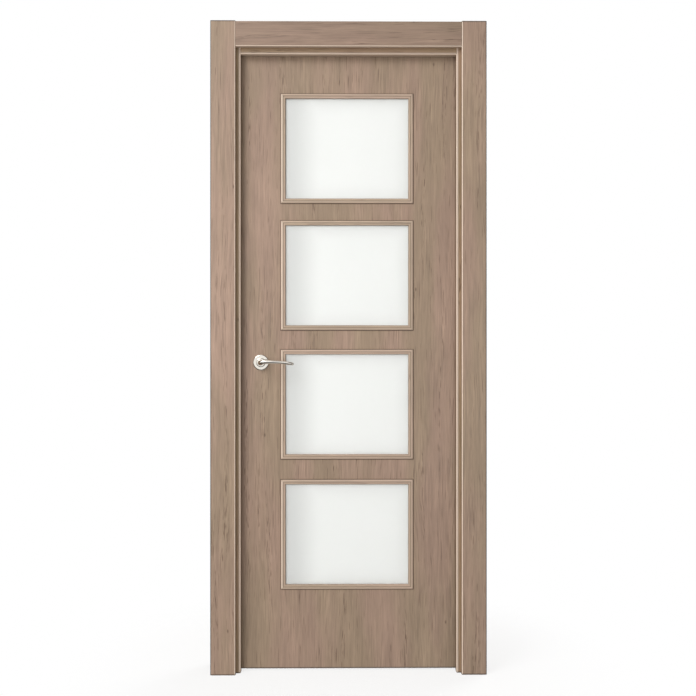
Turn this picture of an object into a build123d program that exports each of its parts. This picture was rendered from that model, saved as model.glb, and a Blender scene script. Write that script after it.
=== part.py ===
from build123d import *
import os
from math import cos, pi, radians, sin

# Glazed interior door in its frame, in millimetres. The leaf opens to the back.
# The origin is on the hinge jamb's wall face, at floor level, in the middle of the jamb's depth.
# +X runs to the right as seen from the front, +Y to the back, +Z up.

# Leaf
LEAF_WIDTH = 725.0
LEAF_HEIGHT = 2030.0
LEAF_THICKNESS = 40.0
FACE_THICKNESS = 4.0
LIPPING_THICKNESS = 8.0
FLOOR_GAP = 5.0

# Windows: the faces around and between them, outside their beads
LOCK_MARGIN = 140.0
HINGE_MARGIN = 150.0
TOP_MARGIN = 137.0
UPPER_RAIL_FACE = 58.0
MIDDLE_RAIL_FACE = 65.0
LOWER_RAIL_FACE = 68.5
BOTTOM_MARGIN = 261.5
PANE_THICKNESS = 5.0
PANE_SETBACK = 2.0
PANE_EDGE_GAP = 1.0

# Glazing beads: a leg inside the cut-out and a moulded flange over the leaf's face
BEAD_WIDTH = 15.5
BEAD_LEG = 8.0
BEAD_PROUD = 4.5
BEAD_ROUND = 3.0
BEAD_SHOULDER = 6.0
BEAD_QUIRK_WIDTH = 1.6
BEAD_QUIRK_DEPTH = 2.0
BEAD_BAND_STEP = 1.0
BEAD_SLOPE = 2.5
MITRE_GAP = 0.2

# Frame: rebated jambs with a stop in front of the leaf
JAMB_LEG = 15.0
STOP_DEPTH = 24.0
STOP_OVERLAP = 10.0
HEAD_OVERLAP = 14.5
SIDE_GAP = 7.0
TOP_GAP = 5.0
STOP_GAP = 5.0
BACK_INSET = 1.0
LIP_WIDTH = 15.0
HEAD_LIP_WIDTH = 19.5
LIP_ARRIS = 4.0

# Casings
CASING_WIDTH = 81.5
CASING_DEPTH = 18.0
CASING_ARRIS = 4.0
CASING_RISE = 2.5
MOVING_CLEARANCE = 5.0

# Seals behind the stops
SEAL_WIDTH = 8.0
SEAL_EDGE = 1.0
SEAL_ROUND = 2.0
SEAL_CLEARANCE = 0.5

# Hinges: lift-off barrels behind the leaf
HINGE_HEIGHT = 80.0
HINGE_TOP_MARGIN = 180.0
HINGE_BOTTOM_MARGIN = 200.0
HINGE_PLATE_WIDTH = 26.0
HINGE_PLATE_THICKNESS = 2.5
BARREL_RADIUS = 7.0
FINIAL_RADIUS = 5.0
FINIAL_HEIGHT = 2.0
BARREL_GAP = 0.5
BARREL_CAP = 6.0
PIN_RADIUS = 3.5
PIN_CLEARANCE = 0.08
PIN_BEHIND_LEAF = 8.0

# Latch and strike
LATCH_PLATE_WIDTH = 20.0
PLATE_THICKNESS = 3.0
FOREND_HEIGHT = 170.0
STRIKE_HEIGHT = 120.0
BOLT_WIDTH = 12.0
BOLT_HEIGHT = 18.0
BOLT_CLEARANCE = 0.2
STRIKE_CLEARANCE = 1.5
STRIKE_POCKET_DEPTH = 12.0

# Lever handle
LEVER_HEIGHT = 1013.0
LEVER_BACKSET = 74.0
LEVER_OFFSET = 50.0
LEVER_REACH = 111.0
LEVER_RISE = 3.0
LEVER_DROP = 7.0
ELBOW_RADIUS = 20.0
ELBOW_HALF_HEIGHT = 8.4
ELBOW_HALF_DEPTH = 8.2
ROOT_HALF_HEIGHT = 6.6
ROOT_HALF_DEPTH = 5.8
TIP_RADIUS = 4.2
TIP_TURN = 65.0
ELBOW_TURNS = (0, 30, 60)
BAR_SHARES = (0, 0.35, 0.7, 1)
NECK_RADIUS = 9.0
NECK_HEIGHT = 18.0
NECK_CLEARANCE = 0.08
NECK_STANDOFF = 0.5
ROSETTE_RADIUS = 26.0
ROSETTE_BASE = 5.0
ROSETTE_ROUND = 3.0
COLLAR_RADIUS = 15.0
COLLAR_HEIGHT = 9.0
COLLAR_ROUND = 2.5
SPINDLE_SIDE = 8.0
SOCKET_DEPTH = 20.0
SPINDLE_HOLE_RADIUS = 11.0

# Places worked out from the sizes above
jamb_depth = STOP_DEPTH + STOP_GAP + LEAF_THICKNESS + BACK_INSET
jamb_front = -jamb_depth / 2
jamb_back = jamb_depth / 2
stop_back = jamb_front + STOP_DEPTH
leaf_front = stop_back + STOP_GAP
leaf_back = leaf_front + LEAF_THICKNESS
leaf_middle = (leaf_front + leaf_back) / 2

stop_half = LEAF_WIDTH / 2 - STOP_OVERLAP
rebate_half = LEAF_WIDTH / 2 + SIDE_GAP
wall_half = rebate_half + JAMB_LEG
centre_x = -wall_half
leaf_left = centre_x - LEAF_WIDTH / 2
leaf_right = centre_x + LEAF_WIDTH / 2

leaf_top = FLOOR_GAP + LEAF_HEIGHT
stop_underside = leaf_top - HEAD_OVERLAP
rebate_top = leaf_top + TOP_GAP
jamb_top = rebate_top + JAMB_LEG

window_names = ("top", "upper", "lower", "bottom")
rail_faces = (UPPER_RAIL_FACE, MIDDLE_RAIL_FACE, LOWER_RAIL_FACE)
glazed_height = LEAF_HEIGHT - TOP_MARGIN - sum(rail_faces) - BOTTOM_MARGIN
window_width = LEAF_WIDTH - LOCK_MARGIN - HINGE_MARGIN
window_height = glazed_height / len(window_names)
bead_overlap = BEAD_WIDTH - BEAD_LEG
cutout_width = window_width - 2 * bead_overlap
cutout_height = window_height - 2 * bead_overlap
sight_width = window_width - 2 * BEAD_WIDTH
sight_height = window_height - 2 * BEAD_WIDTH
window_x = leaf_left + LOCK_MARGIN + window_width / 2
window_heights = [leaf_top - TOP_MARGIN - window_height / 2]
for rail_face in rail_faces:
    window_heights.append(window_heights[-1] - window_height - rail_face)

pin_x = leaf_right + SIDE_GAP / 2
pin_y = leaf_back + PIN_BEHIND_LEAF
barrel_height = (HINGE_HEIGHT - BARREL_GAP) / 2
lowest_hinge = FLOOR_GAP + HINGE_BOTTOM_MARGIN
highest_hinge = leaf_top - HINGE_TOP_MARGIN - HINGE_HEIGHT
hinge_bases = (lowest_hinge, (lowest_hinge + highest_hinge) / 2, highest_hinge)
hinge_plate_front = leaf_back - HINGE_PLATE_WIDTH

lever_x = leaf_left + LEVER_BACKSET
lever_z = LEVER_HEIGHT

front_casing_half = stop_half + LIP_WIDTH
back_casing_half = pin_x + BARREL_RADIUS + MOVING_CLEARANCE - centre_x

os.makedirs("parts", exist_ok=True)


def save(builder, name):
    """Label a finished piece and write it to its own file."""
    builder.part.label = name
    export_step(builder.part, f"parts/{name}.step")


def block(low, high, mode=Mode.ADD):
    """A plain block between two corners, in the part that is being built."""
    size = Vector(*high) - Vector(*low)
    with Locations(Vector(*low) + size / 2):
        Box(size.X, size.Y, size.Z, mode=mode)


# Jambs: the lock jamb stands on the left, the hinge jamb on the right
def jamb_plan(side):
    """The corners of a side jamb's rebated section, the lip's arris first."""
    stop_x = centre_x + side * stop_half
    rebate_x = centre_x + side * rebate_half
    wall_x = centre_x + side * wall_half
    return [
        (stop_x, jamb_front),
        (wall_x, jamb_front),
        (wall_x, jamb_back),
        (rebate_x, jamb_back),
        (rebate_x, stop_back),
        (stop_x, stop_back),
    ]


strike_x = centre_x - rebate_half
strike_low_y = leaf_middle - LATCH_PLATE_WIDTH / 2
strike_high_y = leaf_middle + LATCH_PLATE_WIDTH / 2
strike_half_y = BOLT_WIDTH / 2 + STRIKE_CLEARANCE
strike_half_z = BOLT_HEIGHT / 2 + STRIKE_CLEARANCE

with BuildPart() as lock_jamb:
    with BuildSketch():
        with BuildLine():
            Polyline(*jamb_plan(-1), close=True)
        make_face()
    extrude(amount=jamb_top)
    lip_edge = lock_jamb.edges().filter_by(Axis.Z).sort_by_distance(jamb_plan(-1)[0])[0]
    fillet(lip_edge, LIP_ARRIS)
    block(
        (strike_x - PLATE_THICKNESS, strike_low_y, lever_z - STRIKE_HEIGHT / 2),
        (strike_x, strike_high_y, lever_z + STRIKE_HEIGHT / 2),
        Mode.SUBTRACT,
    )
    block(
        (strike_x - STRIKE_POCKET_DEPTH, leaf_middle - strike_half_y, lever_z - strike_half_z),
        (strike_x, leaf_middle + strike_half_y, lever_z + strike_half_z),
        Mode.SUBTRACT,
    )
save(lock_jamb, "lock_jamb")

with BuildPart() as hinge_jamb:
    with BuildSketch():
        with BuildLine():
            Polyline(*jamb_plan(1), close=True)
        make_face()
    extrude(amount=jamb_top)
    lip_edge = hinge_jamb.edges().filter_by(Axis.Z).sort_by_distance(jamb_plan(1)[0])[0]
    fillet(lip_edge, LIP_ARRIS)
    for base in hinge_bases:
        block(
            (centre_x + rebate_half, hinge_plate_front, base),
            (centre_x + rebate_half + HINGE_PLATE_THICKNESS, jamb_back, base + HINGE_HEIGHT),
            Mode.SUBTRACT,
        )
save(hinge_jamb, "hinge_jamb")

with BuildPart() as head_jamb:
    block((centre_x - stop_half, jamb_front, stop_underside), (centre_x + stop_half, stop_back, jamb_top))
    block((centre_x - rebate_half, stop_back, rebate_top), (centre_x + rebate_half, jamb_back, jamb_top))
    front_edges = head_jamb.edges().filter_by(Axis.X).group_by(Axis.Y)[0]
    fillet(front_edges.sort_by(Axis.Z)[0], LIP_ARRIS)
save(head_jamb, "head_jamb")


# Casings: the head one stands between the side ones, which rise a little above it
def side_casing(side, inner_half, wall_y, outward, height):
    """A side casing's bar, its two outer arrises rounded."""
    inner_x = centre_x + side * inner_half
    middle = (inner_x + side * CASING_WIDTH / 2, wall_y + outward * CASING_DEPTH / 2)
    with BuildPart() as casing:
        with BuildSketch() as section:
            with Locations(middle):
                Rectangle(CASING_WIDTH, CASING_DEPTH)
            outer_corners = section.vertices().group_by(Axis.Y)[-1 if outward > 0 else 0]
            fillet(outer_corners, CASING_ARRIS)
        extrude(amount=height)
    return casing


def head_casing(inner_half, bottom, wall_y, outward):
    """The casing over the doorway, its two outer arrises rounded."""
    with BuildPart() as casing:
        with BuildSketch(Plane.YZ.offset(centre_x)) as section:
            with Locations((wall_y + outward * CASING_DEPTH / 2, bottom + CASING_WIDTH / 2)):
                Rectangle(CASING_DEPTH, CASING_WIDTH)
            outer_corners = section.vertices().group_by(Axis.Y)[-1 if outward > 0 else 0]
            fillet(outer_corners, CASING_ARRIS)
        extrude(amount=inner_half, both=True)
    return casing


back_head_bottom = rebate_top + back_casing_half - rebate_half
casing_sets = (
    ("front", front_casing_half, stop_underside + HEAD_LIP_WIDTH, jamb_front, -1),
    ("back", back_casing_half, back_head_bottom, jamb_back, 1),
)
for face, inner_half, head_bottom, wall_y, outward in casing_sets:
    side_height = head_bottom + CASING_WIDTH + CASING_RISE
    save(side_casing(-1, inner_half, wall_y, outward, side_height), f"{face}_casing_left")
    save(side_casing(1, inner_half, wall_y, outward, side_height), f"{face}_casing_right")
    save(head_casing(inner_half, head_bottom, wall_y, outward), f"{face}_casing_head")

# Seals: strips on the back of the stops, just clear of the closed leaf
seal_depth = STOP_GAP - SEAL_CLEARANCE
seal_inner = stop_half + SEAL_EDGE
seal_outer = seal_inner + SEAL_WIDTH
head_seal_bottom = stop_underside + SEAL_EDGE
head_seal_top = head_seal_bottom + SEAL_WIDTH
for side, name in ((-1, "lock_seal"), (1, "hinge_seal")):
    with BuildPart() as seal:
        with BuildSketch() as section:
            with Locations((centre_x + side * (seal_inner + seal_outer) / 2, stop_back + seal_depth / 2)):
                Rectangle(SEAL_WIDTH, seal_depth)
            fillet(section.vertices().group_by(Axis.Y)[-1], SEAL_ROUND)
        extrude(amount=head_seal_top)
    save(seal, name)

with BuildPart() as head_seal:
    with BuildSketch(Plane.YZ.offset(centre_x)) as section:
        with Locations((stop_back + seal_depth / 2, (head_seal_bottom + head_seal_top) / 2)):
            Rectangle(seal_depth, SEAL_WIDTH)
        fillet(section.vertices().group_by(Axis.Y)[-1], SEAL_ROUND)
    extrude(amount=stop_half, both=True)
save(head_seal, "head_seal")

# Strike plate: let in flush in the lock jamb's rebate, with a window for the latch
with BuildPart() as strike_plate:
    block(
        (strike_x - PLATE_THICKNESS, strike_low_y, lever_z - STRIKE_HEIGHT / 2),
        (strike_x, strike_high_y, lever_z + STRIKE_HEIGHT / 2),
    )
    block(
        (strike_x - PLATE_THICKNESS, leaf_middle - strike_half_y, lever_z - strike_half_z),
        (strike_x, leaf_middle + strike_half_y, lever_z + strike_half_z),
        Mode.SUBTRACT,
    )
save(strike_plate, "strike_plate")

# Leaf's core: two stiles, and rails over, between and under the windows
core_front = leaf_front + FACE_THICKNESS
core_back = leaf_back - FACE_THICKNESS
core_left = leaf_left + LIPPING_THICKNESS
core_right = leaf_right - LIPPING_THICKNESS
cutout_left = window_x - cutout_width / 2
cutout_right = window_x + cutout_width / 2


def spindle_hole(depth):
    """A round hole through the leaf at the lever's axis, in the part that is being built."""
    with Locations(Plane((lever_x, leaf_middle, lever_z), x_dir=(1, 0, 0), z_dir=(0, -1, 0))):
        Cylinder(SPINDLE_HOLE_RADIUS, depth, mode=Mode.SUBTRACT)


with BuildPart() as lock_stile:
    block((core_left, core_front, FLOOR_GAP), (cutout_left, core_back, leaf_top))
    spindle_hole(LEAF_THICKNESS)
save(lock_stile, "lock_stile")

with BuildPart() as hinge_stile:
    block((cutout_right, core_front, FLOOR_GAP), (core_right, core_back, leaf_top))
save(hinge_stile, "hinge_stile")

rail_names = ("top_rail", "upper_rail", "middle_rail", "lower_rail", "bottom_rail")
rail_tops = [leaf_top] + [height - cutout_height / 2 for height in window_heights]
rail_bottoms = [height + cutout_height / 2 for height in window_heights] + [FLOOR_GAP]
for name, rail_top, rail_bottom in zip(rail_names, rail_tops, rail_bottoms):
    with BuildPart() as rail:
        block((cutout_left, core_front, rail_bottom), (cutout_right, core_back, rail_top))
    save(rail, name)

# Leaf's faces: one veneered sheet on each side, with the windows cut out
for name, near_y in (("front_face", leaf_front), ("back_face", core_back)):
    with BuildPart() as face:
        block((core_left, near_y, FLOOR_GAP), (core_right, near_y + FACE_THICKNESS, leaf_top))
        for height in window_heights:
            block(
                (cutout_left, near_y, height - cutout_height / 2),
                (cutout_right, near_y + FACE_THICKNESS, height + cutout_height / 2),
                Mode.SUBTRACT,
            )
        spindle_hole(2 * LEAF_THICKNESS)
    save(face, name)

# Lippings: solid edges over the leaf's whole thickness
forend_low = (leaf_left, strike_low_y, lever_z - FOREND_HEIGHT / 2)
forend_high = (leaf_left + PLATE_THICKNESS, strike_high_y, lever_z + FOREND_HEIGHT / 2)
bolt_window_y = BOLT_WIDTH / 2 + BOLT_CLEARANCE
bolt_window_z = BOLT_HEIGHT / 2 + BOLT_CLEARANCE
bolt_window_low = (leaf_left, leaf_middle - bolt_window_y, lever_z - bolt_window_z)
bolt_window_high = (core_left, leaf_middle + bolt_window_y, lever_z + bolt_window_z)

with BuildPart() as lock_lipping:
    block((leaf_left, leaf_front, FLOOR_GAP), (core_left, leaf_back, leaf_top))
    block(forend_low, forend_high, Mode.SUBTRACT)
    block(bolt_window_low, bolt_window_high, Mode.SUBTRACT)
save(lock_lipping, "lock_edge_lipping")

with BuildPart() as hinge_lipping:
    block((core_right, leaf_front, FLOOR_GAP), (leaf_right, leaf_back, leaf_top))
    for base in hinge_bases:
        block(
            (leaf_right - HINGE_PLATE_THICKNESS, hinge_plate_front, base),
            (leaf_right, leaf_back, base + HINGE_HEIGHT),
            Mode.SUBTRACT,
        )
save(hinge_lipping, "hinge_edge_lipping")

# Latch: its forend lies flush in the lock edge, and its bolt is drawn back flush
with BuildPart() as forend:
    block(forend_low, forend_high)
    block(bolt_window_low, bolt_window_high, Mode.SUBTRACT)
save(forend, "latch_forend")

with BuildPart() as bolt:
    block(
        (leaf_left, leaf_middle - BOLT_WIDTH / 2, lever_z - BOLT_HEIGHT / 2),
        (core_left, leaf_middle + BOLT_WIDTH / 2, lever_z + BOLT_HEIGHT / 2),
    )
save(bolt, "latch_bolt")

# Panes: held face to face between the front and back beads
pane_front = leaf_front + PANE_SETBACK
pane_back = pane_front + PANE_THICKNESS
pane_half_width = cutout_width / 2 - PANE_EDGE_GAP
pane_half_height = cutout_height / 2 - PANE_EDGE_GAP
for name, height in zip(window_names, window_heights):
    with BuildPart() as pane:
        block(
            (window_x - pane_half_width, pane_front, height - pane_half_height),
            (window_x + pane_half_width, pane_back, height + pane_half_height),
        )
    save(pane, f"{name}_pane")


def bead_bar(corner_plane, half_length, leg_depth):
    """One bead along the plane's normal, its origin on the sight line, mitred at both ends."""
    shoulder_inner = BEAD_WIDTH - BEAD_SHOULDER
    band_outer = shoulder_inner - BEAD_QUIRK_WIDTH
    band_height = BEAD_PROUD - BEAD_BAND_STEP
    outward = corner_plane.x_dir
    along = corner_plane.z_dir
    with BuildPart() as bar:
        with BuildSketch(corner_plane):
            with BuildLine():
                Polyline(
                    (BEAD_WIDTH - BEAD_ROUND, BEAD_PROUD),
                    (shoulder_inner, BEAD_PROUD),
                    (shoulder_inner, BEAD_PROUD - BEAD_QUIRK_DEPTH),
                    (band_outer, BEAD_PROUD - BEAD_QUIRK_DEPTH),
                    (band_outer, band_height),
                    (BEAD_SLOPE, band_height),
                    (0, band_height - BEAD_SLOPE),
                    (0, -leg_depth),
                    (BEAD_LEG, -leg_depth),
                    (BEAD_LEG, 0),
                    (BEAD_WIDTH, 0),
                    (BEAD_WIDTH, BEAD_PROUD - BEAD_ROUND),
                )
                RadiusArc(
                    (BEAD_WIDTH, BEAD_PROUD - BEAD_ROUND),
                    (BEAD_WIDTH - BEAD_ROUND, BEAD_PROUD),
                    -BEAD_ROUND,
                )
            make_face()
        extrude(amount=half_length + BEAD_WIDTH, both=True)
        for end in (-1, 1):
            inward = (outward - along * end).normalized()
            sight_corner = corner_plane.origin + along * (end * half_length)
            split(bisect_by=Plane(sight_corner + inward * (MITRE_GAP / 2), z_dir=inward))
    return bar.part


def bead_set(height, face_y, outward_y, leg_depth):
    """The four beads around one window, on one side of the leaf."""
    bars = []
    for turn in range(4):
        angle = turn * pi / 2
        outward = Vector(round(sin(angle)), 0, round(cos(angle)))
        across = abs(outward.X) > 0
        sight_half = (sight_width if across else sight_height) / 2
        half_length = (sight_height if across else sight_width) / 2
        sight_line = Vector(window_x, face_y, height) + outward * sight_half
        along = outward.cross(Vector(0, outward_y, 0))
        bars.append(bead_bar(Plane(sight_line, x_dir=outward, z_dir=along), half_length, leg_depth))
    with BuildPart() as beads:
        add(bars)
    return beads


for name, height in zip(window_names, window_heights):
    save(bead_set(height, leaf_front, -1, PANE_SETBACK), f"{name}_front_beads")
    save(bead_set(height, leaf_back, 1, leaf_back - pane_back), f"{name}_back_beads")

# Hinges: the frame's halves carry the pins, the leaf's halves turn on them
def post(radius, base, height, mode=Mode.ADD):
    """An upright cylinder on the hinge axis, in the part that is being built."""
    with Locations((pin_x, pin_y, base)):
        Cylinder(radius, height, align=(Align.CENTER, Align.CENTER, Align.MIN), mode=mode)


frame_plate_x = centre_x + rebate_half
plate_far = frame_plate_x + HINGE_PLATE_THICKNESS
with BuildPart() as frame_halves:
    for base in hinge_bases:
        block((frame_plate_x, hinge_plate_front, base), (plate_far, leaf_back, base + HINGE_HEIGHT))
        block((frame_plate_x, leaf_back, base), (plate_far, pin_y, base + barrel_height))
        post(BARREL_RADIUS, base, barrel_height)
        post(FINIAL_RADIUS, base - FINIAL_HEIGHT, FINIAL_HEIGHT)
        post(PIN_RADIUS, base + barrel_height, HINGE_HEIGHT - barrel_height - BARREL_CAP - BARREL_GAP)
save(frame_halves, "hinge_frame_halves")

leaf_plate_x = leaf_right - HINGE_PLATE_THICKNESS
with BuildPart() as leaf_halves:
    for base in hinge_bases:
        barrel_base = base + HINGE_HEIGHT - barrel_height
        block((leaf_plate_x, hinge_plate_front, base), (leaf_right, leaf_back, base + HINGE_HEIGHT))
        block((leaf_plate_x, leaf_back, barrel_base), (leaf_right, pin_y, base + HINGE_HEIGHT))
        post(BARREL_RADIUS, barrel_base, barrel_height)
        post(FINIAL_RADIUS, base + HINGE_HEIGHT, FINIAL_HEIGHT)
        post(PIN_RADIUS + PIN_CLEARANCE, barrel_base, barrel_height - BARREL_CAP, Mode.SUBTRACT)
save(leaf_halves, "hinge_leaf_halves")


# Rosettes and levers: the same on both faces of the leaf
def rosette(face_y, outward):
    """A round plate with a raised collar, bored for the lever's neck."""
    seat = Plane((lever_x, face_y, lever_z), x_dir=(1, 0, 0), z_dir=(0, outward, 0))
    away = Axis(seat.origin, seat.z_dir)
    with BuildPart() as plate:
        with BuildSketch(seat):
            Circle(ROSETTE_RADIUS)
        extrude(amount=ROSETTE_BASE)
        fillet(plate.edges().sort_by(away)[-1], ROSETTE_ROUND)
        with BuildSketch(seat):
            Circle(COLLAR_RADIUS)
        extrude(amount=COLLAR_HEIGHT)
        fillet(plate.edges().sort_by(away)[-1], COLLAR_ROUND)
        with BuildSketch(seat):
            Circle(NECK_RADIUS + NECK_CLEARANCE)
        extrude(amount=COLLAR_HEIGHT, mode=Mode.SUBTRACT)
    return plate


def lever(face_y, outward):
    """A neck out of the rosette, a rising elbow, and a bar that thins and droops towards its tip."""
    neck_end = face_y + outward * NECK_STANDOFF
    neck_top = face_y + outward * NECK_HEIGHT
    elbow_start = face_y + outward * (LEVER_OFFSET - ELBOW_RADIUS)
    bar_y = face_y + outward * LEVER_OFFSET
    bar_start = lever_x + ELBOW_RADIUS
    bar_length = LEVER_REACH - ELBOW_RADIUS - TIP_RADIUS * sin(radians(TIP_TURN))
    sections = [((lever_x, neck_top, lever_z), (0, outward, 0), NECK_RADIUS, NECK_RADIUS)]
    for turn in ELBOW_TURNS:
        forward = sin(radians(turn))
        sideways = 1 - cos(radians(turn))
        left = 1 - turn / 90
        lift = LEVER_RISE * (1 - cos(radians(2 * turn))) / 2
        sections.append(
            (
                (
                    lever_x + ELBOW_RADIUS * sideways,
                    elbow_start + outward * ELBOW_RADIUS * forward,
                    lever_z + lift,
                ),
                (forward, outward * cos(radians(turn)), 0),
                ROOT_HALF_HEIGHT + left * (ELBOW_HALF_HEIGHT - ROOT_HALF_HEIGHT),
                ROOT_HALF_DEPTH + left * (ELBOW_HALF_DEPTH - ROOT_HALF_DEPTH),
            )
        )
    for share in BAR_SHARES:
        droop = LEVER_DROP * share**3
        slope = 3 * LEVER_DROP * share**2 / bar_length
        sections.append(
            (
                (bar_start + share * bar_length, bar_y, lever_z + LEVER_RISE - droop),
                (1, 0, -slope),
                ROOT_HALF_HEIGHT + share * (TIP_RADIUS - ROOT_HALF_HEIGHT),
                ROOT_HALF_DEPTH + share * (TIP_RADIUS - ROOT_HALF_DEPTH),
            )
        )
    tip_centre = Vector(*sections[-1][0])
    tip_heading = Vector(*sections[-1][1]).normalized()
    for turn in (TIP_TURN / 2, TIP_TURN):
        tip_place = tip_centre + tip_heading * (TIP_RADIUS * sin(radians(turn)))
        tip_radius = TIP_RADIUS * cos(radians(turn))
        sections.append((tip_place, tip_heading, tip_radius, tip_radius))
    neck_plane = Plane((lever_x, neck_end, lever_z), x_dir=(1, 0, 0), z_dir=(0, outward, 0))
    with BuildPart() as handle:
        for place, heading, half_height, half_depth in sections:
            with BuildSketch(Plane(place, x_dir=(0, 0, 1), z_dir=heading)):
                if half_height > half_depth:
                    Ellipse(half_height, half_depth)
                else:
                    Circle(half_height)
        loft()
        with BuildSketch(neck_plane):
            Circle(NECK_RADIUS)
        extrude(amount=NECK_HEIGHT - NECK_STANDOFF)
        with BuildSketch(neck_plane):
            Rectangle(SPINDLE_SIDE, SPINDLE_SIDE)
        extrude(amount=SOCKET_DEPTH, mode=Mode.SUBTRACT)
    return handle


for name, face_y, outward in (("front", leaf_front, -1), ("back", leaf_back, 1)):
    save(rosette(face_y, outward), f"{name}_rosette")
    save(lever(face_y, outward), f"{name}_lever")

# Spindle: a square bar through the leaf, seated in both levers' sockets
spindle_reach = LEAF_THICKNESS / 2 + NECK_STANDOFF + SOCKET_DEPTH
with BuildPart() as spindle:
    with BuildSketch(Plane((lever_x, leaf_middle, lever_z), x_dir=(1, 0, 0), z_dir=(0, -1, 0))):
        Rectangle(SPINDLE_SIDE, SPINDLE_SIDE)
    extrude(amount=spindle_reach, both=True)
save(spindle, "spindle")
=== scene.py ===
import math

import bmesh
import bpy
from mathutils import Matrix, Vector


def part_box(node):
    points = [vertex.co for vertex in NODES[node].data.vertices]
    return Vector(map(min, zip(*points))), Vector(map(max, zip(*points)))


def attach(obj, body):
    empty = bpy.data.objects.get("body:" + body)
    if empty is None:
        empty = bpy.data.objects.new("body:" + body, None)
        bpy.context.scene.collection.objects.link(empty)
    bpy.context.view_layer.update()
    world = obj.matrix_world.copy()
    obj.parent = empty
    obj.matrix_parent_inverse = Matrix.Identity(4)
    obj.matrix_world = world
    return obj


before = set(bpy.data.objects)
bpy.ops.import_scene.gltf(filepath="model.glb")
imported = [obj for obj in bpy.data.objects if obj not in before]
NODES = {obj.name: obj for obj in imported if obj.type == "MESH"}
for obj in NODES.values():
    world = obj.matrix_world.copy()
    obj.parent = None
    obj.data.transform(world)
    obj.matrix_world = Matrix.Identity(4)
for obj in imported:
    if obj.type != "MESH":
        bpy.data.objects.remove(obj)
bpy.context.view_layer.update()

# The photograph's frame and camera
PICTURE_SIDE = 696
SENSOR = 0.036
VIEW_DISTANCE = 2.85
VIEW_SCALE = 0.003245
VIEW_HEIGHT = 1.10
VIEW_TURN = math.radians(0.42)
HORIZON_PIXEL = 336.1
CENTRE_PIXEL = 348.65

# Light
AMBIENT = 0.42
AMBIENT_TINT = (1.0, 0.955, 0.9, 1)
KEY_PLACE = (-3.7, -4.0, 5.2)
KEY_SIZE = 3.6
KEY_POWER = 238
FILL_PLACE = (-1.2, -1.7, 1.2)
FILL_SIZE = 1.2
FILL_POWER = 11.5
LOW_PLACE = (1.4, -3.6, 0.6)
LOW_SIZE = 1.2
LOW_POWER = 9
BACK_PLACE = (4.2, 3.6, 3.2)
BACK_SIZE = 3.0
BACK_POWER = 190

# What metal mirrors, by the height of the direction: a pale floor far below, dark up to the horizon,
# white above it, and a dark flag at the upper right
MIRROR_DARK = 0.03
MIRROR_FLOOR = 0.6
MIRROR_FLOOR_HEIGHTS = (-0.98, -0.85)
MIRROR_HORIZON_HEIGHTS = (-0.22, -0.03)
FLAG_DIRECTION = (0.7, -0.35, 0.62)
FLAG_DARK = 0.05
FLAG_SPREAD = (0.66, 0.78)

# Floor
FLOOR_REACH = 2.4
FLOOR_WHITE = (0.95, 0.95, 0.95, 1)
FLOOR_SHARE = 0.22
FLOOR_FADE = (0.45, 1.0)

# Places read from the frame
CASING_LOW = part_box("front_casing_left")[0]
CASING_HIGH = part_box("front_casing_right")[1]
MIDDLE_X = (CASING_LOW.x + CASING_HIGH.x) / 2
FRONT_Y = CASING_LOW.y
TOP_Z = CASING_HIGH.z
MIDDLE_Z = TOP_Z / 2
WINDOWS = ("top", "upper", "lower", "bottom")


def linear(red, green, blue):
    """A colour given in display values from 0 to 255, as the shader takes it."""
    def one(value):
        share = value / 255
        return share / 12.92 if share <= 0.04045 else ((share + 0.055) / 1.055) ** 2.4
    return (one(red), one(green), one(blue), 1)


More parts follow.
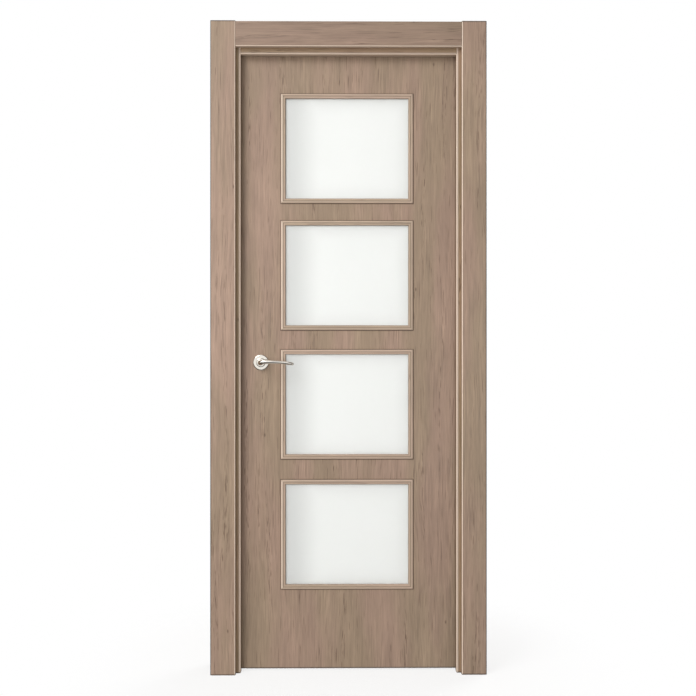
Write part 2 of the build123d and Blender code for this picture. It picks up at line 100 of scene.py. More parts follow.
class Nodes:
    """A node tree, with short ways to add nodes and join them."""

    def __init__(self, tree):
        self.tree = tree
        self.tree.nodes.clear()

    def add(self, kind, **settings):
        node = self.tree.nodes.new(kind)
        for key, value in settings.items():
            setattr(node, key, value)
        return node

    def join(self, value, socket):
        if isinstance(value, bpy.types.NodeSocket):
            self.tree.links.new(value, socket)
        else:
            socket.default_value = value

    def coordinates(self, name="Object"):
        return self.add("ShaderNodeTexCoord").outputs[name]

    def math(self, operation, first, second=0.0, third=0.0):
        node = self.add("ShaderNodeMath", operation=operation)
        for value, socket in zip((first, second, third), node.inputs):
            self.join(value, socket)
        return node.outputs[0]

    def vector(self, operation, first, second):
        node = self.add("ShaderNodeVectorMath", operation=operation)
        self.join(first, node.inputs[0])
        self.join(second, node.inputs[1])
        return node.outputs[0]

    def split(self, vector):
        node = self.add("ShaderNodeSeparateXYZ")
        self.join(vector, node.inputs[0])
        return node.outputs[0], node.outputs[1], node.outputs[2]

    def combine(self, first, second, third):
        node = self.add("ShaderNodeCombineXYZ")
        for value, socket in zip((first, second, third), node.inputs):
            self.join(value, socket)
        return node.outputs[0]

    def noise(self, place, detail=2.0, roughness=0.5):
        node = self.add("ShaderNodeTexNoise")
        self.join(place, node.inputs["Vector"])
        node.inputs["Scale"].default_value = 1.0
        node.inputs["Detail"].default_value = detail
        node.inputs["Roughness"].default_value = roughness
        return node.outputs["Fac"]

    def cells(self, place):
        """The distance to the nearest of scattered points, seen in the X and Y of the place."""
        node = self.add("ShaderNodeTexVoronoi", voronoi_dimensions="2D")
        self.join(place, node.inputs["Vector"])
        node.inputs["Scale"].default_value = 1.0
        return node.outputs["Distance"]

    def between(self, value, low, high, to_low=0.0, to_high=1.0):
        node = self.add("ShaderNodeMapRange", interpolation_type="SMOOTHSTEP")
        for item, socket in zip((value, low, high, to_low, to_high), node.inputs):
            self.join(item, socket)
        return node.outputs[0]

    def mix(self, share, first, second, blend="MIX"):
        node = self.add("ShaderNodeMix", data_type="RGBA", blend_type=blend)
        self.join(share, node.inputs[0])
        self.join(first, node.inputs[6])
        self.join(second, node.inputs[7])
        return node.outputs[2]

    def either(self, share, first, second):
        """One of two places, by a share of 0 or 1."""
        node = self.add("ShaderNodeMix", data_type="VECTOR")
        self.join(share, node.inputs[0])
        self.join(first, node.inputs[4])
        self.join(second, node.inputs[5])
        return node.outputs[1]

    def sum(self, *values):
        total = values[0]
        for value in values[1:]:
            total = self.math("ADD", total, value)
        return total


class Surface(Nodes):
    """A material with one principled shader."""

    def __init__(self, name):
        self.material = bpy.data.materials.new(name)
        self.material.use_nodes = True
        super().__init__(self.material.node_tree)
        self.shader = self.add("ShaderNodeBsdfPrincipled")
        output = self.add("ShaderNodeOutputMaterial")
        self.join(self.shader.outputs["BSDF"], output.inputs["Surface"])

    def set(self, name, value):
        self.join(value, self.shader.inputs[name])

    def bump(self, height, distance, strength=1.0):
        node = self.add("ShaderNodeBump")
        self.join(height, node.inputs["Height"])
        node.inputs["Distance"].default_value = distance
        node.inputs["Strength"].default_value = strength
        self.set("Normal", node.outputs[0])


# Laminate: greige oak with soft pink and olive zones, short fibres, dark flecks and a few knots
ZONE_PINK = linear(168, 142, 125)
ZONE_OLIVE = linear(161, 140, 119)
FLECK_DARK = linear(104, 83, 67)
KNOT_DARK = linear(92, 72, 58)
SWAY = 0.04
FIBRE_SWING = 0.8
HAIR_SWING = 0.4
STREAK_SWING = 0.46
CLOUD_SWING = 0.24
FIGURE_LINES = 75.0
FIGURE_SHARE = 0.05
CHAIN_SHARE = 0.7
DASH_SHARE = 0.6
KNOT_SHARE = 0.6
SMOOTH_LAMINATE = 0.4
ROUGH_LAMINATE = 0.54
PORE_DEPTH = 0.00025
BOARD_STEP = (1.37, 0.71, 2.9)
BEAD_STEP = (0.83, 0.0, 1.9)
BEAD_OFFSET = (0.0, 0.4, 0.0)

# Painted highlights and painted shade on the boards. A turn says, by the square of the normal's share towards
# the front or back, where a rounded edge starts to take a colour, has all of it, starts to lose it and has
# none left.
ARRIS_HIGHLIGHT = linear(248, 230, 212)
ARRIS_HIGHLIGHT_SHARE = 0.95
ARRIS_SHADE = linear(66, 57, 49)
JAMB_TURN = (0.97, 0.72, 0.12, 0.02)
CASING_TURN = (0.99, 0.88, 0.45, 0.2)
OUTER_TURN = (0.995, 0.86, 0.12, 0.02)
SIDE_TURN = 0.1
REVEAL_SHADE = (0.75, 0.68, 0.57, 1)
HEAD_UNDERSIDE_HIGHLIGHT = 0.3
LIP_LIGHT = 0.009
SIDE_LIP = 0.6
HEAD_LIP = 0.25
LIP_FRONT = (-0.9, -0.5)
GAP_SHADE_TINT = (1.06, 1.03, 0.88, 1)
END_LINE = 0.005
END_UPRIGHT = (0.5, 0.9)
FOOT_SHADE = linear(56, 47, 40)
FOOT_SHARE = 0.9
FOOT_SHADE_HEIGHT = 0.006

# Painted shade as dark lines on the leaf's faces, and a painted highlight and painted shade on the beads. The
# shoulder lies in from a bead's outer edge, and the groove in from the shoulder.
JOINT_SHADE = linear(80, 62, 48)
JOINT_LINE = 0.0042
JOINT_SHARE = 0.95
LEAF_EDGE_LINE = 0.003
BEAD_PALE = linear(192, 176, 160)
BEAD_PALE_SHARE = 0.3
BEAD_WIDTH = 0.0155
BEAD_SHOULDER = 0.006
BEAD_SHOULDER_FADE = 0.0005
GROOVE_INNER = (0.0032, 0.0016)
GROOVE_OUTER = 0.0002
RIM_WIDTH = 0.0026
RIM_SHARE = 0.9
GROOVE_RIM_SHADE_SHARE = 0.45
SHOULDER_HIGHLIGHT_LEFT = 0.5
SHOULDER_HIGHLIGHT_ELSE = 0.12

# Glass. Each edge has the distances where its painted shade starts to fade and ends, and the shade's
# strength. Only the front face is partly clear, because what two faces let through multiplies.
GLASS_WHITE = linear(247, 249, 248)
GLASS_SHADE = linear(224, 226, 225)
GLASS_CLOUD = linear(234, 240, 238)
GLASS_CLOUD_SHARE = 0.06
GLASS_EDGE_SHADE = {
    "left": (0.02, 0.13, 0.9),
    "right": (0.0, 0.06, 0.2),
    "upper": (0.0, 0.07, 0.3),
    "lower": (0.0, 0.06, 0.15),
}
GLASS_BACK_TINT = (0.9, 0.9, 0.9, 1)
GLASS_ROUGHNESS = (0.6, 0.75)
GLASS_IOR = 1.5
FRONT_CLEAR = 0.3

# Depth of the finest relief, on glass and metal, and how much darker smeared metal is
GRIT_DEPTH = 0.00002
SMEAR_DARK = 0.9


def grain_place(surface, grain, number):
    """Object coordinates turned so that the grain runs along Z, moved by the board's own number of steps."""
    x, y, z = surface.split(surface.coordinates())
    turned = surface.combine(z, y, x) if grain == "x" else surface.combine(x, y, z)
    return surface.vector("ADD", turned, tuple(number * step for step in BOARD_STEP))


def past_edges(surface, low, high):
    """How far a place lies past a box's sides, and past its top or bottom. Inside it both are negative."""
    def past(value, start, end):
        away = surface.math("ABSOLUTE", surface.math("SUBTRACT", value, (start + end) / 2))
        return surface.math("SUBTRACT", away, (end - start) / 2)

    x, _, z = surface.split(surface.coordinates())
    return past(x, low.x, high.x), past(z, low.z, high.z)


def laminate_layers(surface, place):
    """The laminate's colour, fibres and relief at a place whose Z runs along the grain."""
    def layer(across, along, detail=2.0, roughness=0.5):
        """Noise with so many waves in a metre across the grain and along it."""
        stretched = surface.vector("MULTIPLY", place, (across, across, along))
        return surface.noise(stretched, detail, roughness)

    def swing(value, amount):
        """A value around one half, as a change around none."""
        return surface.math("MULTIPLY_ADD", value, amount, -amount / 2)

    # The layers after this lie on the swayed place
    sway = surface.combine(swing(layer(4.0, 1.8), SWAY), 0.0, 0.0)
    place = surface.vector("ADD", place, sway)
    zones = surface.between(layer(7.5, 1.5, 3), 0.38, 0.62)
    colour = surface.mix(zones, ZONE_OLIVE, ZONE_PINK)
    pores = layer(210, 9, 2, 0.6)
    busy = surface.between(layer(13, 3.2, 2), 0.36, 0.64, 0.45, 1.15)
    hairs = layer(1100, 30, 2, 0.6)
    streaks = layer(46, 2.6, 3, 0.6)
    clouds = layer(8, 3.0, 2)
    lines = surface.math("SINE", surface.math("MULTIPLY", layer(6, 0.7, 0), FIGURE_LINES))
    figure = surface.math("MULTIPLY", lines, surface.between(clouds, 0.48, 0.66, 0.0, FIGURE_SHARE))
    fibre = surface.math("MULTIPLY", swing(pores, FIBRE_SWING), busy)
    slow = surface.sum(swing(streaks, STREAK_SWING), swing(clouds, CLOUD_SWING), figure)
    bright = surface.sum(1.0, fibre, swing(hairs, HAIR_SWING), slow)
    grey = surface.combine(bright, bright, bright)
    colour = surface.mix(1.0, colour, grey, "MULTIPLY")
    chains = surface.between(layer(50, 1.5, 2), 0.57, 0.68, 0.0, CHAIN_SHARE)
    dots = surface.math("MULTIPLY", surface.between(layer(330, 24, 1), 0.54, 0.64), chains)
    dashes = surface.between(layer(300, 10, 1), 0.66, 0.72, 0.0, DASH_SHARE)
    flecks = surface.math("MAXIMUM", dots, dashes)
    colour = surface.mix(flecks, colour, FLECK_DARK)
    x, _, z = surface.split(place)
    scattered = surface.combine(surface.math("MULTIPLY", x, 3.4), surface.math("MULTIPLY", z, 1.5), 0.0)
    knots = surface.between(surface.cells(scattered), 0.004, 0.013, KNOT_SHARE, 0.0)
    colour = surface.mix(knots, colour, KNOT_DARK)
    dents = surface.math("ADD", flecks, knots)
    relief = surface.math("SUBTRACT", surface.math("MULTIPLY", pores, 0.6), dents)
    return colour, pores, relief


def arrises(surface, inner_turn):
    """Where a board's edge rounds towards the opening, where away from it, and where the board faces it:
    masks for painted highlights and painted shade.
    """
    def rounding(turn):
        start, full, fade, end = turn
        taken = surface.between(facing, full, start, 1.0, 0.0)
        return surface.math("MULTIPLY", taken, surface.between(facing, end, fade))

    normal_x, normal_y, normal_z = surface.split(surface.coordinates("Normal"))
    x, _, z = surface.split(surface.coordinates())
    facing = surface.math("MULTIPLY", normal_y, normal_y)
    inward = surface.sum(
        surface.math("MULTIPLY", normal_x, surface.math("SUBTRACT", MIDDLE_X, x)),
        surface.math("MULTIPLY", normal_z, surface.math("SUBTRACT", MIDDLE_Z, z)),
    )
    inner = surface.math("GREATER_THAN", inward, 0.0)
    outer = surface.math("LESS_THAN", inward, 0.0)
    side = surface.math("MULTIPLY", surface.between(facing, 0.0, SIDE_TURN, 1.0, 0.0), inner)
    pale = surface.math("MULTIPLY", rounding(inner_turn), inner)
    dark = surface.math("MULTIPLY", rounding(OUTER_TURN), outer)
    return pale, dark, side


def toned(surface, colour, tone):
    """The colour, made lighter or darker all over."""
    return surface.mix(1.0, colour, (tone, tone, tone, 1), "MULTIPLY")


def finish_laminate(surface, colour, fibres, relief):
    """A satin, slightly uneven sheen over the laminate's colour."""
    surface.set("Base Color", colour)
    surface.set("Roughness", surface.between(fibres, 0.25, 0.75, SMOOTH_LAMINATE, ROUGH_LAMINATE))
    surface.bump(relief, PORE_DEPTH, 0.5)
    return surface.material


def lip_inset(surface, name):
    """How far a place on a jamb lies from the jamb's edge at the opening."""
    low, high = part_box(name)
    x, _, z = surface.split(surface.coordinates())
    if name == "head_jamb":
        return surface.math("SUBTRACT", z, low.z)
    if name == "lock_jamb":
        return surface.math("SUBTRACT", high.x, x)
    return surface.math("SUBTRACT", x, low.x)


def shaded_foot(surface, colour, bottom):
    """The colour, with painted shade along the bottom edge of a board."""
    height = surface.split(surface.coordinates())[2]
    foot_shade = surface.between(height, bottom, bottom + FOOT_SHADE_HEIGHT, FOOT_SHARE, 0.0)
    return surface.mix(foot_shade, colour, FOOT_SHADE)


def frame_board(name, grain, number, tone):
    """A board of the frame: painted highlights on the edges around the opening, painted shade on those
    outside, in the reveals, at the foot and at the top end.
    """
    surface = Surface(name + "_laminate")
    colour, fibres, relief = laminate_layers(surface, grain_place(surface, grain, number))
    colour = toned(surface, colour, tone)
    jamb = name.endswith("_jamb")
    pale, dark, side = arrises(surface, JAMB_TURN if jamb else CASING_TURN)
    _, normal_y, normal_z = surface.split(surface.coordinates("Normal"))
    if grain == "x":
        # Painted highlight on the head's underside
        colour = surface.mix(surface.math("MULTIPLY", side, HEAD_UNDERSIDE_HIGHLIGHT), colour, ARRIS_HIGHLIGHT)
    else:
        # Painted shade on the inner side faces of the reveal
        colour = surface.mix(side, colour, REVEAL_SHADE, "MULTIPLY")
    if jamb:
        front = surface.between(normal_y, *LIP_FRONT, 1.0, 0.0)
        inset = lip_inset(surface, name)
        # Painted warm shade on the jamb's front, in the gap beside the casing
        gap = surface.between(inset, LIP_LIGHT / 2, LIP_LIGHT)
        colour = surface.mix(surface.math("MULTIPLY", front, gap), colour, GAP_SHADE_TINT, "MULTIPLY")
        # Painted highlight along the front of the jamb's lip at the opening
        lip = surface.between(inset, 0.0, LIP_LIGHT, HEAD_LIP if grain == "x" else SIDE_LIP, 0.0)
        colour = surface.mix(surface.math("MULTIPLY", front, lip), colour, ARRIS_HIGHLIGHT)
    # Painted highlight on the rounded edges around the opening
    colour = surface.mix(surface.math("MULTIPLY", pale, ARRIS_HIGHLIGHT_SHARE), colour, ARRIS_HIGHLIGHT)
    # Painted shade on the rounded outer edges
    colour = surface.mix(dark, colour, ARRIS_SHADE)
    if grain == "z":
        low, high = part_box(name)
        colour = shaded_foot(surface, colour, low.z)
        # Painted shade as a dark line across the front at the top end
        height = surface.split(surface.coordinates())[2]
        upright = surface.between(normal_z, *END_UPRIGHT, 1.0, 0.0)
        end = surface.math("MULTIPLY", surface.between(height, high.z - END_LINE, high.z), upright)
        colour = surface.mix(end, colour, ARRIS_SHADE)
    return finish_laminate(surface, colour, fibres, relief)


def leaf_face(name, number, beads):
    """A face of the leaf, with painted shade as a dark line around each window's beads, along the leaf's
    sides and along its foot.
    """
    surface = Surface(name + "_laminate")
    colour, fibres, relief = laminate_layers(surface, grain_place(surface, "z", number))
    low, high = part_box(name)
    # Painted shade along the leaf's sides and around each window's beads
    line = surface.between(past_edges(surface, low, high)[0], -LEAF_EDGE_LINE, 0.0)
    for box in beads:
        over, above = past_edges(surface, *box)
        near = surface.between(surface.math("MAXIMUM", over, above), 0.0, JOINT_LINE, JOINT_SHARE, 0.0)
        line = surface.math("MAXIMUM", line, near)
    colour = surface.mix(line, colour, JOINT_SHADE)
    colour = shaded_foot(surface, colour, low.z)
    return finish_laminate(surface, colour, fibres, relief)


def bead_set(window, number, tone):
    """A window's beads: grain along each one, level above and below and upright at the sides."""
    low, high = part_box(f"{window}_front_beads")
    surface = Surface(window + "_bead_laminate")
    x, y, z = surface.split(surface.coordinates())
    over, above = past_edges(surface, low, high)
    upright = surface.math("GREATER_THAN", over, above)
    place = surface.either(upright, surface.combine(z, y, x), surface.combine(x, y, z))
    offset = tuple(number * step + start for step, start in zip(BEAD_STEP, BEAD_OFFSET))
    colour, fibres, relief = laminate_layers(surface, surface.vector("ADD", place, offset))
    colour = toned(surface, surface.mix(BEAD_PALE_SHARE, colour, BEAD_PALE), tone)
    edge = surface.math("MAXIMUM", over, above)
    # Painted highlight on the beads' outer shoulder, strongest on the left bead
    left = surface.math("MULTIPLY", upright, surface.math("LESS_THAN", x, (low.x + high.x) / 2))
    shoulder_highlight = surface.math("MULTIPLY_ADD", left, SHOULDER_HIGHLIGHT_LEFT - SHOULDER_HIGHLIGHT_ELSE, SHOULDER_HIGHLIGHT_ELSE)
    shoulder = surface.between(edge, -BEAD_SHOULDER - BEAD_SHOULDER_FADE, -BEAD_SHOULDER)
    colour = surface.mix(surface.math("MULTIPLY", shoulder, shoulder_highlight), colour, ARRIS_HIGHLIGHT)
    # Painted shade in the groove and along the inner rim by the glass
    groove = surface.math(
        "MULTIPLY",
        surface.between(edge, *(-BEAD_SHOULDER - inset for inset in GROOVE_INNER)),
        surface.between(edge, -BEAD_SHOULDER - GROOVE_OUTER, -BEAD_SHOULDER, 1.0, 0.0),
    )
    rim = surface.between(edge, -BEAD_WIDTH, -BEAD_WIDTH + RIM_WIDTH, RIM_SHARE, 0.0)
    groove_rim_shade = surface.math("MULTIPLY", surface.math("MAXIMUM", groove, rim), GROOVE_RIM_SHADE_SHARE)
    colour = surface.mix(groove_rim_shade, colour, JOINT_SHADE)
    return finish_laminate(surface, colour, fibres, relief)


def plain_board(name, grain, number, tone):
    """A lipping, stile or rail; an upright one gets painted shade along its foot."""
    surface = Surface(name + "_wood")
    colour, fibres, relief = laminate_layers(surface, grain_place(surface, grain, number))
    if grain == "z":
        colour = shaded_foot(surface, colour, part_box(name)[0].z)
    return finish_laminate(surface, toned(surface, colour, tone), fibres, relief)


def satin_glass(window):
    """White etched glass, with painted shade along its edges, most at the left."""
    low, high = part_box(f"{window}_pane")
    surface = Surface(window + "_glass")
    x, _, z = surface.split(surface.coordinates())
    grit = surface.noise(surface.vector("MULTIPLY", surface.coordinates(), (900.0, 900.0, 900.0)), 2)
    cloud = surface.noise(surface.vector("MULTIPLY", surface.coordinates(), (7.0, 7.0, 7.0)), 2)
    insets = {
        "left": surface.math("SUBTRACT", x, low.x),
        "right": surface.math("SUBTRACT", high.x, x),
        "upper": surface.math("SUBTRACT", high.z, z),
        "lower": surface.math("SUBTRACT", z, low.z),
    }
    # Painted shade along the pane's edges
    shade = 0.0
    for side, (start, end, share) in GLASS_EDGE_SHADE.items():
        shade = surface.math("MAXIMUM", shade, surface.between(insets[side], start, end, share, 0.0))
    colour = surface.mix(shade, GLASS_WHITE, GLASS_SHADE)
    colour = surface.mix(surface.between(cloud, 0.35, 0.7, 0.0, GLASS_CLOUD_SHARE), colour, GLASS_CLOUD)
    behind = surface.between(surface.split(surface.coordinates("Normal"))[1], -0.5, 0.5)
    colour = surface.mix(behind, colour, surface.mix(1.0, colour, GLASS_BACK_TINT, "MULTIPLY"))
    surface.set("Base Color", colour)
    surface.set("Roughness", surface.between(grit, 0.2, 0.8, *GLASS_ROUGHNESS))
    surface.set("Transmission Weight", surface.math("MULTIPLY_ADD", behind, 1.0 - FRONT_CLEAR, FRONT_CLEAR))
    surface.set("IOR", GLASS_IOR)
    surface.bump(grit, GRIT_DEPTH, 0.3)
    return surface.material


def metal(name, colour, smooth, rough, stretch):
    """A metal with fine wear: smears in its roughness and hairline scratches."""
    surface = Surface(name)
    wear = surface.noise(surface.vector("MULTIPLY", surface.coordinates(), stretch), 4, 0.6)
    smear = surface.noise(surface.vector("MULTIPLY", surface.coordinates(), (60.0, 60.0, 60.0)), 2)
    dulled = tuple(channel * SMEAR_DARK for channel in colour[:3]) + (1,)
    surface.set("Base Color", surface.mix(smear, colour, dulled))
    surface.set("Metallic", 1.0)
    surface.set("Roughness", surface.between(wear, 0.25, 0.75, smooth, rough))
    surface.bump(wear, GRIT_DEPTH, 0.25)
    return surface.material


def rubber():
    """A dull dark seal, dusty in places."""
    surface = Surface("seal_rubber")
    dust = surface.noise(surface.vector("MULTIPLY", surface.coordinates(), (160.0, 160.0, 30.0)), 3)
    surface.set("Base Color", surface.mix(dust, linear(52, 44, 38), linear(70, 61, 53)))
    surface.set("Roughness", surface.between(dust, 0.3, 0.7, 0.6, 0.8))
    surface.bump(dust, 0.0001, 0.4)
    return surface.material


def dress(node, material):
    """Give a node of the frame its material."""
    mesh = NODES[node].data
    mesh.materials.clear()
    mesh.materials.append(material)


# Each board's grain direction and tone. Its number picks the stretch of grain that it shows.
FIRST_FRAME_BOARD = 3
FIRST_LEAF_FACE = 13
FIRST_PLAIN_BOARD = 12
JAMB_TONE = 0.92
CASING_TONE = 1.03
HEAD_CASING_TONE = 0.84
LIPPING_TONE = 1.0
CORE_TONE = 1.15
BEAD_TONE = 1.25

frame_boards = (
    ("lock_jamb", "z", JAMB_TONE),
    ("hinge_jamb", "z", JAMB_TONE),
    ("head_jamb", "x", JAMB_TONE),
    ("front_casing_left", "z", CASING_TONE),
    ("front_casing_right", "z", CASING_TONE),
    ("front_casing_head", "x", HEAD_CASING_TONE),
    ("back_casing_left", "z", CASING_TONE),
    ("back_casing_right", "z", CASING_TONE),
    ("back_casing_head", "x", HEAD_CASING_TONE),
)
for number, (node, grain, tone) in enumerate(frame_boards):
    dress(node, frame_board(node, grain, FIRST_FRAME_BOARD + number, tone))

for number, side in enumerate(("front", "back")):
    beads = [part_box(f"{window}_{side}_beads") for window in WINDOWS]
    dress(f"{side}_face", leaf_face(f"{side}_face", FIRST_LEAF_FACE + number, beads))

plain_boards = (
    ("lock_edge_lipping", "z", LIPPING_TONE),
    ("hinge_edge_lipping", "z", LIPPING_TONE),
    ("lock_stile", "z", CORE_TONE),
    ("hinge_stile", "z", CORE_TONE),
    ("top_rail", "x", CORE_TONE),
    ("upper_rail", "x", CORE_TONE),
    ("middle_rail", "x", CORE_TONE),
    ("lower_rail", "x", CORE_TONE),
    ("bottom_rail", "x", CORE_TONE),
)
for number, (node, grain, tone) in enumerate(plain_boards):
    dress(node, plain_board(node, grain, FIRST_PLAIN_BOARD + number, tone))

for number, window in enumerate(WINDOWS):
    beads = bead_set(window, number, BEAD_TONE)
    dress(f"{window}_front_beads", beads)
    dress(f"{window}_back_beads", beads)
    dress(f"{window}_pane", satin_glass(window))

seal_rubber = rubber()
for node in ("lock_seal", "hinge_seal", "head_seal"):
    dress(node, seal_rubber)

nickel = metal("polished_nickel", linear(244, 239, 229), 0.05, 0.13, (300.0, 300.0, 300.0))
for node in ("front_lever", "back_lever", "front_rosette", "back_rosette"):
    dress(node, nickel)

steel = metal("satin_steel", linear(200, 198, 193), 0.25, 0.38, (900.0, 900.0, 60.0))
hinges = ("hinge_frame_halves", "hinge_leaf_halves")
for node in hinges + ("strike_plate", "latch_forend", "latch_bolt", "spindle"):
    dress(node, steel)


# Screws in the hinge plates, the forend and the strike plate
SCREW_RADIUS = 0.0035
SCREW_RISE = 0.0007
SCREW_RECESS = 0.0005
SCREW_SIDES = 28
SCREW_CROWN = 0.78
CROSS_ARM = 0.58
CROSS_HALF_WIDTH = 0.14
PLATE_SCREW_INSET = 0.012

# Hinges: how far the top of each half's solid stands over the foot of its plate, the screws' depths and
# heights on the plate, the least space between two hinges, and how near its front edge a corner counts as
# the plate's
HINGE_SOLID_RISE = {"leaf": 0.082, "frame": 0.080}
HINGE_SCREWS = ((0.007, 0.012), (0.018, 0.028), (0.018, 0.052), (0.007, 0.068))
HINGE_SPACE = 0.1
PLATE_EDGE = 0.001


def solids_by_height(node):
    """The corners of a node's solids that stand one above the other."""
    corners = sorted((vertex.co for vertex in NODES[node].data.vertices), key=lambda corner: corner.z)
    groups = [[corners[0]]]
    for corner in corners[1:]:
        if corner.z - groups[-1][-1].z > HINGE_SPACE:
            groups.append([])
        groups[-1].append(corner)
    return [
        (Vector([min(axis) for axis in zip(*group)]), Vector([max(axis) for axis in zip(*group)]))
        for group in groups
    ]


def screw_head(shape, place, outward):
    """A raised countersunk head with a cross recess, facing outward along X."""
    def ring(radius, height):
        turns = [2 * math.pi * step / SCREW_SIDES for step in range(SCREW_SIDES)]
        return loop([(radius * math.cos(turn), radius * math.sin(turn)) for turn in turns], height)

    def loop(points, height):
        return [shape.verts.new(place + Vector((outward * height, u, v))) for u, v in points]

    def wall(lower, upper):
        count = len(lower)
        for step in range(count):
            after = (step + 1) % count
            shape.faces.new((lower[step], lower[after], upper[after], upper[step]))

    def fill(*loops):
        edges = []
        for points in loops:
            for step, point in enumerate(points):
                after = points[(step + 1) % len(points)]
                edges.append(shape.edges.get((point, after)) or shape.edges.new((point, after)))
        bmesh.ops.triangle_fill(shape, use_beauty=True, edges=edges)

    arm = SCREW_RADIUS * CROSS_ARM
    half = SCREW_RADIUS * CROSS_HALF_WIDTH
    cross = []
    for quarter in range(4):
        turn = quarter * math.pi / 2
        for along, across in ((arm, -half), (arm, half), (half, half)):
            cross.append((
                along * math.cos(turn) - across * math.sin(turn),
                along * math.sin(turn) + across * math.cos(turn),
            ))
    rim = ring(SCREW_RADIUS, 0.0)
    crown = ring(SCREW_RADIUS * SCREW_CROWN, SCREW_RISE)
    mouth = loop(cross, SCREW_RISE)
    bed = loop(cross, SCREW_RISE - SCREW_RECESS)
    shape.faces.new(rim)
    wall(rim, crown)
    wall(mouth, bed)
    fill(crown, mouth)
    fill(bed)


def screws(name, body, places, outward):
    """One piece of several like screws, riding on a body."""
    shape = bmesh.new()
    for place in places:
        screw_head(shape, Vector(place), outward)
    bmesh.ops.recalc_face_normals(shape, faces=shape.faces)
    mesh = bpy.data.meshes.new(name)
    shape.to_mesh(mesh)
    shape.free()
    mesh.materials.append(steel)
    piece = bpy.data.objects.new(name, mesh)
    bpy.context.scene.collection.objects.link(piece)
    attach(piece, body)


for body, outward in (("leaf", 1), ("frame", -1)):
    node = f"hinge_{body}_halves"
    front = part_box(node)[0].y
    corners = (vertex.co for vertex in NODES[node].data.vertices)
    plate = [corner.x for corner in corners if corner.y < front + PLATE_EDGE]
    face = max(plate) if outward > 0 else min(plate)
    places = []
    for low, high in solids_by_height(node):
        foot = high.z - HINGE_SOLID_RISE[body]
        for depth, height in HINGE_SCREWS:
            places.append((face, low.y + depth, foot + height))
    screws(f"{body}_hinge_screws", body, places, outward)
for node, body, outward in (("latch_forend", "leaf", -1), ("strike_plate", "frame", 1)):
    low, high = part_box(node)
    face = high.x if outward > 0 else low.x
    heights = (low.z + PLATE_SCREW_INSET, high.z - PLATE_SCREW_INSET)
    screws(f"{node}_screws", body, [(face, (low.y + high.y) / 2, height) for height in heights], outward)


def background():
    """White to the eye and through glass, ambient light on the object, and dark zones for metal to mirror."""
    world = bpy.data.worlds.new("studio")
    world.use_nodes = True
    nodes = Nodes(world.node_tree)
    path = nodes.add("ShaderNodeLightPath")
    direction = nodes.coordinates("Generated")
    height = nodes.split(direction)[2]
    under = nodes.between(height, *MIRROR_FLOOR_HEIGHTS, MIRROR_FLOOR, MIRROR_DARK)
    over = nodes.between(height, *MIRROR_HORIZON_HEIGHTS, MIRROR_DARK, 1.0)
    towards = nodes.add("ShaderNodeVectorMath", operation="DOT_PRODUCT")
    nodes.join(direction, towards.inputs[0])
    nodes.join(FLAG_DIRECTION, towards.inputs[1])
    flag = nodes.between(towards.outputs["Value"], *FLAG_SPREAD, 1.0, FLAG_DARK)
    mirrored = nodes.math("MULTIPLY", nodes.math("MAXIMUM", under, over), flag)
    seen = nodes.math("MAXIMUM", path.outputs["Is Camera Ray"], path.outputs["Is Transmission Ray"])
    diffuse = nodes.math("MULTIPLY", nodes.math("SUBTRACT", 1.0, path.outputs["Is Glossy Ray"]), AMBIENT)
    glossy = nodes.math("MULTIPLY", path.outputs["Is Glossy Ray"], mirrored)
    light = nodes.add("ShaderNodeBackground")
    neutral = nodes.math("MAXIMUM", seen, path.outputs["Is Glossy Ray"])
    nodes.join(nodes.mix(neutral, AMBIENT_TINT, (1, 1, 1, 1)), light.inputs["Color"])
    nodes.join(nodes.math("MAXIMUM", seen, nodes.math("ADD", diffuse, glossy)), light.inputs["Strength"])
    output = nodes.add("ShaderNodeOutputWorld")
    nodes.join(light.outputs[0], output.inputs["Surface"])
    bpy.context.scene.world = world


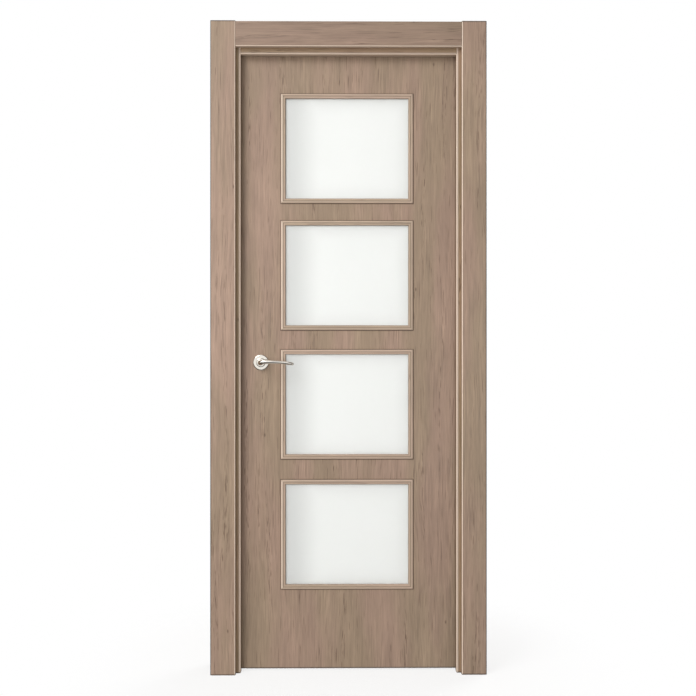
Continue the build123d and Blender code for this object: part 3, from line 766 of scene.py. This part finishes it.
def floor():
    """A pale floor that keeps the object's shadow and fades into the white around it."""
    mesh = bpy.data.meshes.new("floor")
    signs = ((-1, -1), (1, -1), (1, 1), (-1, 1))
    corners = [(MIDDLE_X + x * FLOOR_REACH, y * FLOOR_REACH, 0) for x, y in signs]
    mesh.from_pydata(corners, [], [(0, 1, 2, 3)])
    plate = bpy.data.objects.new("floor", mesh)
    bpy.context.scene.collection.objects.link(plate)
    surface = Surface("floor")
    place = surface.vector("SUBTRACT", surface.coordinates(), (MIDDLE_X, 0.0, 0.0))
    distance = surface.add("ShaderNodeVectorMath", operation="LENGTH")
    surface.join(place, distance.inputs[0])
    surface.set("Base Color", FLOOR_WHITE)
    surface.set("Roughness", 0.8)
    surface.set("Alpha", surface.between(distance.outputs["Value"], *FLOOR_FADE, FLOOR_SHARE, 0.0))
    mesh.materials.append(surface.material)


def lamp(name, place, size, power, mirrored=True):
    """A soft square lamp, turned to the middle of the door, which metal may mirror or not."""
    light = bpy.data.lights.new(name, "AREA")
    light.size = size
    light.energy = power
    thing = bpy.data.objects.new(name, light)
    bpy.context.scene.collection.objects.link(thing)
    thing.location = Vector((MIDDLE_X, 0, 0)) + Vector(place)
    aim = Vector((MIDDLE_X, FRONT_Y, MIDDLE_Z)) - thing.location
    thing.rotation_euler = aim.to_track_quat("-Z", "Y").to_euler()
    thing.visible_glossy = mirrored


def camera():
    """A level camera a little to the left of the middle, framed as the photograph is."""
    data = bpy.data.cameras.new("camera")
    data.sensor_width = SENSOR * 1000
    data.lens = VIEW_DISTANCE / VIEW_SCALE / PICTURE_SIDE * SENSOR * 1000
    data.shift_y = (HORIZON_PIXEL - PICTURE_SIDE / 2) / PICTURE_SIDE
    data.shift_x = -(CENTRE_PIXEL - PICTURE_SIDE / 2) / PICTURE_SIDE
    thing = bpy.data.objects.new("camera", data)
    bpy.context.scene.collection.objects.link(thing)
    away = Vector((-math.sin(VIEW_TURN), -math.cos(VIEW_TURN), 0)) * VIEW_DISTANCE
    thing.location = Vector((MIDDLE_X, FRONT_Y, VIEW_HEIGHT)) + away
    thing.rotation_euler = (math.pi / 2, 0, -VIEW_TURN)
    bpy.context.scene.camera = thing


background()
floor()
lamp("key", KEY_PLACE, KEY_SIZE, KEY_POWER)
lamp("fill", FILL_PLACE, FILL_SIZE, FILL_POWER, mirrored=False)
lamp("low", LOW_PLACE, LOW_SIZE, LOW_POWER)
lamp("back", BACK_PLACE, BACK_SIZE, BACK_POWER)
camera()
bpy.context.scene.view_settings.view_transform = "Standard"
